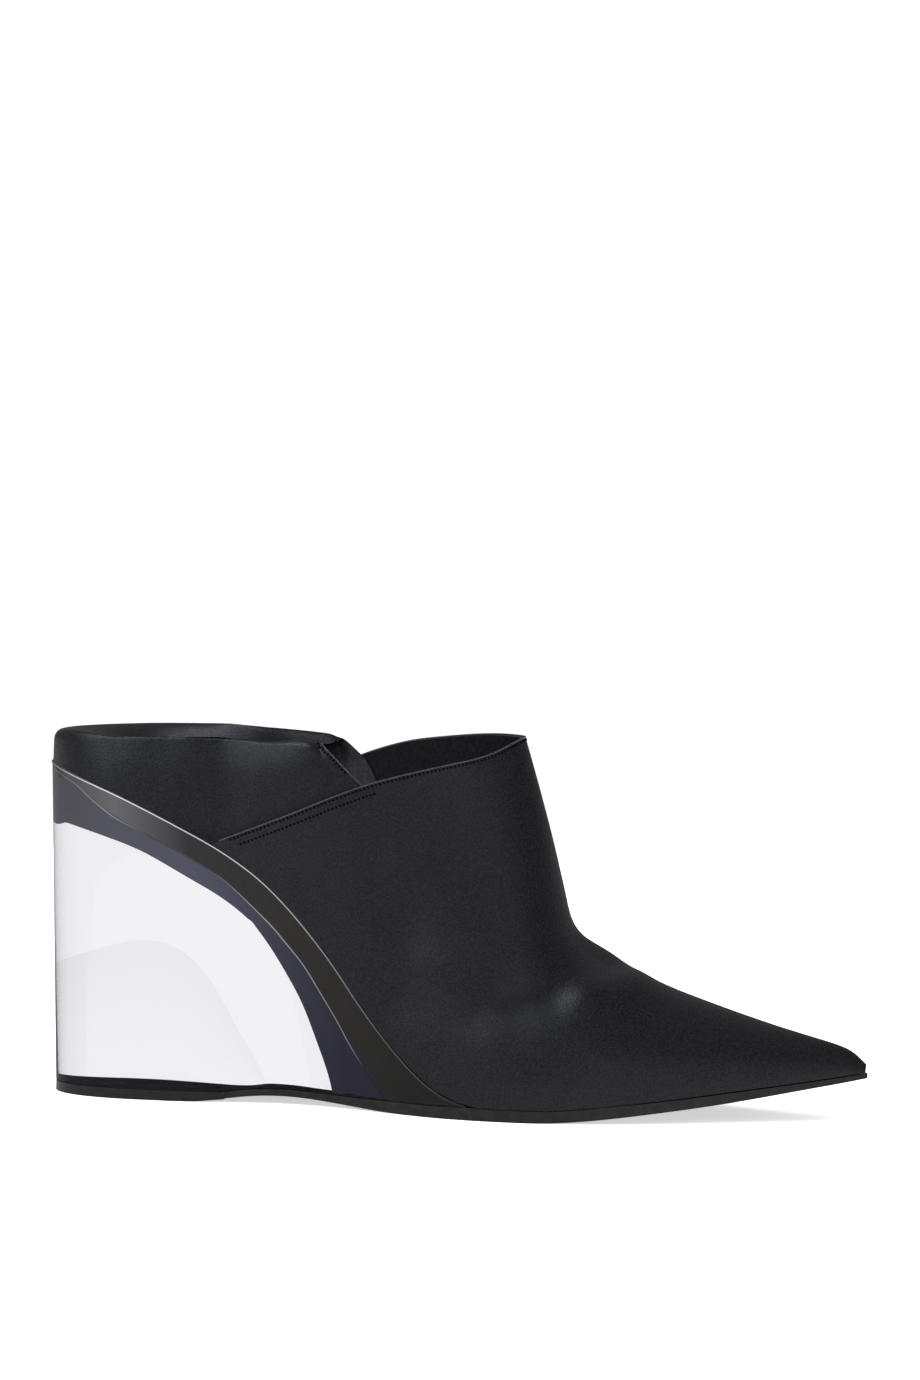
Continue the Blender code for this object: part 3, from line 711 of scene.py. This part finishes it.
# %% Hull of the core
# Height of the wall's foot and of the keel above the floor, in mm, along the shoe
WALL_FOOT = (
    (-3.3, 97), (2, 95), (7.4, 92.4), (13.4, 87.5), (19.4, 83.2), (27.3, 79.5), (39.5, 73.5),
    (51, 67.3), (57.7, 61.7), (67, 53), (76.4, 42.7), (82.3, 33.9), (88, 25.3), (93.4, 16.3),
    (99, 9), (104, 3), (127, 0),
)
KEEL = (
    (-3.3, 83), (0.6, 81), (11.7, 76.8), (26.2, 71.3), (35.4, 66.4), (47.7, 59.8), (53.8, 55.9),
    (58.4, 52.5), (63.3, 47.7), (70.9, 37.1), (78.2, 25.7), (82.1, 14.5), (84.0, 0), (127, 0),
)
HEEL_END = WALL_FOOT[0][0]
BACK_WALL = 2.4
RIM_LAND = 0.8
WALL_SLANT = 1.6
BILGE = 0.62
CORE_SUNK = 1.5
FOOT_COLUMN = 2
EDGE_COLUMN = 4


def along(table, x):
    """Straight steps through the points of a table."""
    for (x0, y0), (x1, y1) in zip(table, table[1:]):
        if x <= x1:
            return y0 + (y1 - y0) * max(0, x - x0) / (x1 - x0)
    return table[-1][1]


def hull_point(x, half_width, edge_height, base_height, base_width, column):
    """Where a point of the wedge's top goes. column runs from 0 at the middle to 4 at the edge."""
    begun = soft_step((x - HEEL_END) / BACK_WALL)
    lowest = base_height - CORE_SUNK
    foot = min(max(along(WALL_FOOT, x), lowest), edge_height)
    keel = min(max(along(KEEL, x), lowest), foot)
    foot = edge_height + (foot - edge_height) * begun
    keel = edge_height + (keel - edge_height) * begun
    bilge = keel + (foot - keel) * BILGE * BILGE
    lean = (edge_height - foot) / (edge_height - base_height)
    foot_width = half_width + (min(base_width, half_width) - half_width) * lean - RIM_LAND - WALL_SLANT
    places = (
        (0, keel),
        (foot_width * BILGE, bilge),
        (foot_width, foot),
        (half_width - RIM_LAND, edge_height),
        (half_width, edge_height),
    )
    return places[column]


print("50 mm from the heel's back the keel is at", round(along(KEEL, 50), 1), "mm")

# %% Base and top of the wedge
# Numbers of the wedge's coats. The clear acrylic is number 0.
WALL, UNDERSIDE, BOND, RIM, FOOT = range(1, 6)
UPRIGHT = 0.35
wedge = merged_copy("clear_wedge", "acrylic_wedge")
for made_of in (acrylic, core_wall_glow, core_under_glow, bond, rim_highlight_coat, foot_highlight_coat):
    wedge.data.materials.append(made_of)
skin = bmesh.new()
skin.from_mesh(wedge.data)
top_faces = [face for face in skin.faces if face.normal.z > UPRIGHT]
base_faces = [face for face in skin.faces if face.normal.z < -UPRIGHT]
base_rows = {}
for face in base_faces:
    face.material_index = BOND
    for vertex in face.verts:
        place = round(vertex.co.x / MM - HEEL_BACK, 1)
        width = abs(vertex.co.y / MM - MIDDLE_LINE)
        base_rows[place] = max(base_rows.get(place, (0, 0)), (width, vertex.co.z / MM))
base_heights = [(place, height) for place, (_, height) in sorted(base_rows.items())]
base_widths = [(place, width) for place, (width, _) in sorted(base_rows.items())]
rows = {}
for vertex in {vertex for face in top_faces for vertex in face.verts}:
    rows.setdefault(round(vertex.co.x, 5), []).append(vertex)
print("Wedge: top has", len(rows), "rows of", {len(row) for row in rows.values()})

# %% Hull in the wedge
RIM_PROUD = 0.08
RIM_DROP = 0.35
columns = {}
rim_lines = {OUTER: [], INNER: []}
foot_lines = {OUTER: [], INNER: []}
for place, row in sorted(rows.items()):
    row.sort(key=lambda vertex: vertex.co.y)
    middle = len(row) // 2
    x = place / MM - HEEL_BACK
    below = along(base_heights, x), along(base_widths, x)
    for number, vertex in enumerate(row):
        end = row[0] if number <= middle else row[-1]
        side_width = abs(end.co.y / MM - MIDDLE_LINE)
        side = math.copysign(1, number - middle)
        column = columns[vertex] = abs(number - middle)
        y, z = hull_point(x, side_width, end.co.z / MM, *below, column)
        vertex.co = at(x, side * y, z)
        if column == EDGE_COLUMN:
            rim_lines[side].append(at(x, side * (y + RIM_PROUD), z - RIM_DROP))
        elif column == FOOT_COLUMN:
            foot_lines[side].append(at(x, side * (y + RIM_PROUD), z - RIM_DROP))
rim_heights = sorted((place / MM - HEEL_BACK, row[0].co.z / MM) for place, row in rows.items())
# The hull's wall and underside take the glowing coats of painted light
for face in top_faces:
    innermost = min(columns[vertex] for vertex in face.verts)
    face.material_index = WALL if innermost >= FOOT_COLUMN else UNDERSIDE
skin.to_mesh(wedge.data)
skin.free()
print("Edge of the wedge's top runs from", [round(part, 1) for part in rim_heights[0]], "mm")

# %% [markdown]
# The wedge's sharp edges are bevelled. The bevel takes one coat everywhere, so it is then
# sorted by height. Along the base it joins the base's black or the underside. Along the rim
# it glows as the rim's painted highlight, and between them it takes the painted highlight of
# the fine line at the wall's foot. Clear acrylic lets the light through to the floor, so the
# wedge throws no shadow.

# %% Coats of the wedge
WEDGE_LEVELS = 3
WEDGE_EDGE = 0.35 * MM
CLOSE_TO = 1.5
UNDERSIDE_FROM = 80
crease_sharp_edges(wedge)
subdivide(wedge, WEDGE_LEVELS)
soften_edges(wedge, WEDGE_EDGE, 1, RIM)
for face in wedge.data.polygons:
    x = face.center.x / MM - HEEL_BACK
    z = face.center.z / MM
    if face.material_index == RIM and z < along(base_heights, x) + CLOSE_TO:
        face.material_index = BOND if x < UNDERSIDE_FROM else UNDERSIDE
    elif face.material_index == RIM and z < along(rim_heights, x) - CLOSE_TO:
        face.material_index = FOOT
finish_piece(wedge, "clear", "clear_wedge")
wedge.visible_shadow = False

# %% [markdown]
# The polished rim and the wall's foot each show a line of light much finer than a millimetre.
# It is a painted highlight: a thin roll along the edge, made from a curve, glows with the
# rim's or the foot line's painted tones and gives the line one width all the way. The same
# helper later makes the turned edges of the satin.

# %% Thin lines along the edges
LINE_RADIUS = 0.15 * MM


def line_along(name, path, radius, made_of, slot):
    """A thin smooth roll that follows the path."""
    data = bpy.data.curves.new(name, "CURVE")
    data.dimensions = "3D"
    data.bevel_depth = radius
    data.bevel_resolution = 2
    data.resolution_u = 4
    line = data.splines.new("BEZIER")
    line.bezier_points.add(len(path) - 1)
    for point, place in zip(line.bezier_points, path):
        point.co = place
        point.handle_left_type = "AUTO"
        point.handle_right_type = "AUTO"
    roll = bpy.data.objects.new(name, data)
    bpy.context.scene.collection.objects.link(roll)
    make_active(roll)
    bpy.ops.object.convert(target="MESH")
    roll = bpy.context.object
    roll.data.materials.clear()
    roll.data.materials.append(made_of)
    finish_piece(roll, slot)


# The rolls glow with the painted highlight tones of the rim and the wall's foot
for side in (OUTER, INNER):
    line_along(f"wedge_rim_{side}", rim_lines[side], LINE_RADIUS, rim_highlight_coat, "clear")
    line_along(f"core_edge_{side}", foot_lines[side], LINE_RADIUS, foot_highlight_coat, "clear")

# %% [markdown]
# ## Sole and lift
# The sole is one thin strip of leather from the lift to the toe. Its end is slid a little way
# into the rubber lift, so the joint between them is closed.

# %% Sole and lift
SOLE_EDGE = 0.3 * MM
LIFT_FRONT = at(54.9, 0, 0).x
SLID_IN = 1.2 * MM
sole = merged_copy("outsole", "leather_sole")
sole.data.materials.append(sole_leather)
for vertex in sole.data.vertices:
    if vertex.co.x < LIFT_FRONT:
        vertex.co.x -= SLID_IN
subdivide(sole, SMOOTH_LEVELS)
soften_edges(sole, SOLE_EDGE)
finish_piece(sole, "sole", "outsole")

lift = merged_copy("heel_lift", "rubber_lift")
lift.data.materials.append(lift_rubber)
subdivide(lift, SMOOTH_LEVELS)
soften_edges(lift, SOLE_EDGE)
finish_piece(lift, "lift", "heel_lift")

# %% [markdown]
# ## Seams
# The collar is turned under and sewn down with a row of short stitches close to the edge.
# Where the front overlaps the back a second row holds both. The free edge of the back is
# sewn the same way. The rows keep a fixed distance from the edge, so the edge is found
# first: it is where the satin skin meets the turned rim.

# %% Paths beside a turned edge
def edge_chains(piece, wanted):
    """The edges between the satin and the rim where wanted(x, z) holds, as chains of points."""
    skin = bmesh.new()
    skin.from_mesh(piece.data)
    skin.verts.ensure_lookup_table()
    edges = []
    for edge in skin.edges:
        kinds = sorted(face.material_index for face in edge.link_faces)
        middle = (edge.verts[0].co + edge.verts[1].co) / 2 / MM
        if kinds == [TURNED_EDGE, SATIN_SKIN] and wanted(middle.x - HEEL_BACK, middle.z):
            edges.append(edge)
    ends = {}
    for edge in edges:
        for vertex in edge.verts:
            ends.setdefault(vertex.index, []).append(edge)
    chains = []
    left = dict.fromkeys(edges)
    while left:
        starts = [index for index, linked in ends.items() if sum(edge in left for edge in linked) == 1]
        here = skin.verts[starts[0] if starts else next(iter(left)).verts[0].index]
        chain = [here.co.copy()]
        onward = [edge for edge in ends[here.index] if edge in left]
        while onward:
            del left[onward[0]]
            here = onward[0].other_vert(here)
            chain.append(here.co.copy())
            onward = [edge for edge in ends[here.index] if edge in left]
        chains.append(chain)
    skin.free()
    chains.sort(key=len, reverse=True)
    print(piece.name, "has edges of", [len(chain) for chain in chains], "points")
    return chains


def evenly(points, pitch):
    """Points at one distance from each other along a path."""
    spaced = [points[0]]
    due = pitch
    for start, end in zip(points, points[1:]):
        length = (end - start).length
        while length and due <= length:
            spaced.append(start.lerp(end, due / length))
            due += pitch
        due -= length
    return spaced


def beside(points, skin, distance, inward):
    """The path moved along the satin, away from the edge. inward is a point in the middle of the skin."""
    moved = []
    for i, point in enumerate(points):
        run = (points[min(i + 1, len(points) - 1)] - points[max(i - 1, 0)]).normalized()
        _, normal, _, _ = skin.find_nearest(point)
        across = run.cross(normal).normalized()
        if across.dot(inward - point) < 0:
            across = -across
        place, normal, _, _ = skin.find_nearest(point + across * distance)
        moved.append((place, normal, run))
    return moved


# %% [markdown]
# One stitch is modelled as a small rounded bar of thread. A row is then one mesh that holds
# a copy of it at each place, turned along the seam and laid flat on the satin.

# %% One stitch
STITCH_PITCH = 1.2 * MM
STITCH_LONG = 0.6 * MM
STITCH_WIDE = 0.45 * MM
STITCH_HIGH = 0.2 * MM
deselect()
bpy.ops.mesh.primitive_cube_add(size=1, location=(0, 0, 0))
stitch = bpy.context.object
stitch.name = "one_stitch"
bpy.ops.object.mode_set(mode="EDIT")
bpy.ops.transform.resize(value=(STITCH_LONG, STITCH_WIDE, STITCH_HIGH))
bpy.ops.mesh.subdivide(number_cuts=1, smoothness=1.0)
bpy.ops.object.mode_set(mode="OBJECT")
print("One stitch has", len(stitch.data.polygons), "faces")


def sew(name, rows, slot):
    """Copies of the stitch, one at each place, as one piece."""
    seam = bmesh.new()
    for row in rows:
        for place, normal, run in row:
            turn = Matrix((run, normal.cross(run).normalized(), normal)).transposed().to_4x4()
            copy = stitch.data.copy()
            copy.transform(Matrix.Translation(place) @ turn)
            seam.from_mesh(copy)
            bpy.data.meshes.remove(copy)
    mesh = bpy.data.meshes.new(name)
    seam.to_mesh(mesh)
    seam.free()
    mesh.materials.append(thread)
    piece = bpy.data.objects.new(name, mesh)
    bpy.context.scene.collection.objects.link(piece)
    finish_piece(piece, slot)


# %% Collar seam
EDGE_ROW = 0.9 * MM
SECOND_ROW = 3.4 * MM
OVERLAP_END = at(97, 0, 0).x
ROLL_PITCH = 1.6 * MM
COLLAR_ROLL = 0.2 * MM
COLLAR_ABOVE = 77
COLLAR_BEHIND = 140
VAMP_MIDDLE = at(150, 0, 60)
vamp_skin = skin_from(vamp, (SATIN_SKIN,))
collar = edge_chains(vamp, lambda x, z: z > COLLAR_ABOVE and x < COLLAR_BEHIND)[0]
collar_edge = evenly(collar, STITCH_PITCH)
# The roll along the collar carries the painted highlight of the turned edge
line_along("collar_edge", evenly(collar, ROLL_PITCH), COLLAR_ROLL, turned_satin_highlight, "satin")
row_one = beside(collar_edge, vamp_skin, EDGE_ROW, VAMP_MIDDLE)[2:-2]
row_two = beside(collar_edge, vamp_skin, SECOND_ROW, VAMP_MIDDLE)[4:-4]
overlap = [step for step in row_two if step[0].x < OVERLAP_END]
sew("collar_stitches", (row_one, overlap), "satin")

# %% Seams of the back's free edge
TOPLINE_ROLL = 0.18 * MM
TOPLINE_ABOVE = 93
TOPLINE_FROM = 78
HIDDEN_FROM = at(88, 0, 0).x
QUARTER_MIDDLE = at(60, 0, 90)
quarter_skin = skin_from(quarter, (SATIN_SKIN,))
edges = edge_chains(quarter, lambda x, z: z > TOPLINE_ABOVE and x > TOPLINE_FROM)[:2]
top_lines = [beside(evenly(edge, STITCH_PITCH), quarter_skin, EDGE_ROW, QUARTER_MIDDLE) for edge in edges]
shown_lines = [[step for step in line if step[0].x < HIDDEN_FROM] for line in top_lines]
sew("topline_stitches", shown_lines, "satin_back")
# The rolls along the back's free edges carry the same painted highlight
for number, edge in enumerate(edges):
    line_along(f"topline_edge_{number}", evenly(edge, ROLL_PITCH), TOPLINE_ROLL, turned_satin_highlight, "satin_back")
bpy.data.objects.remove(stitch)

# %% Sizes of the finished shoe
low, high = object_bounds()
print("Visual box in mm:", [round(1000 * size, 1) for size in high - low])
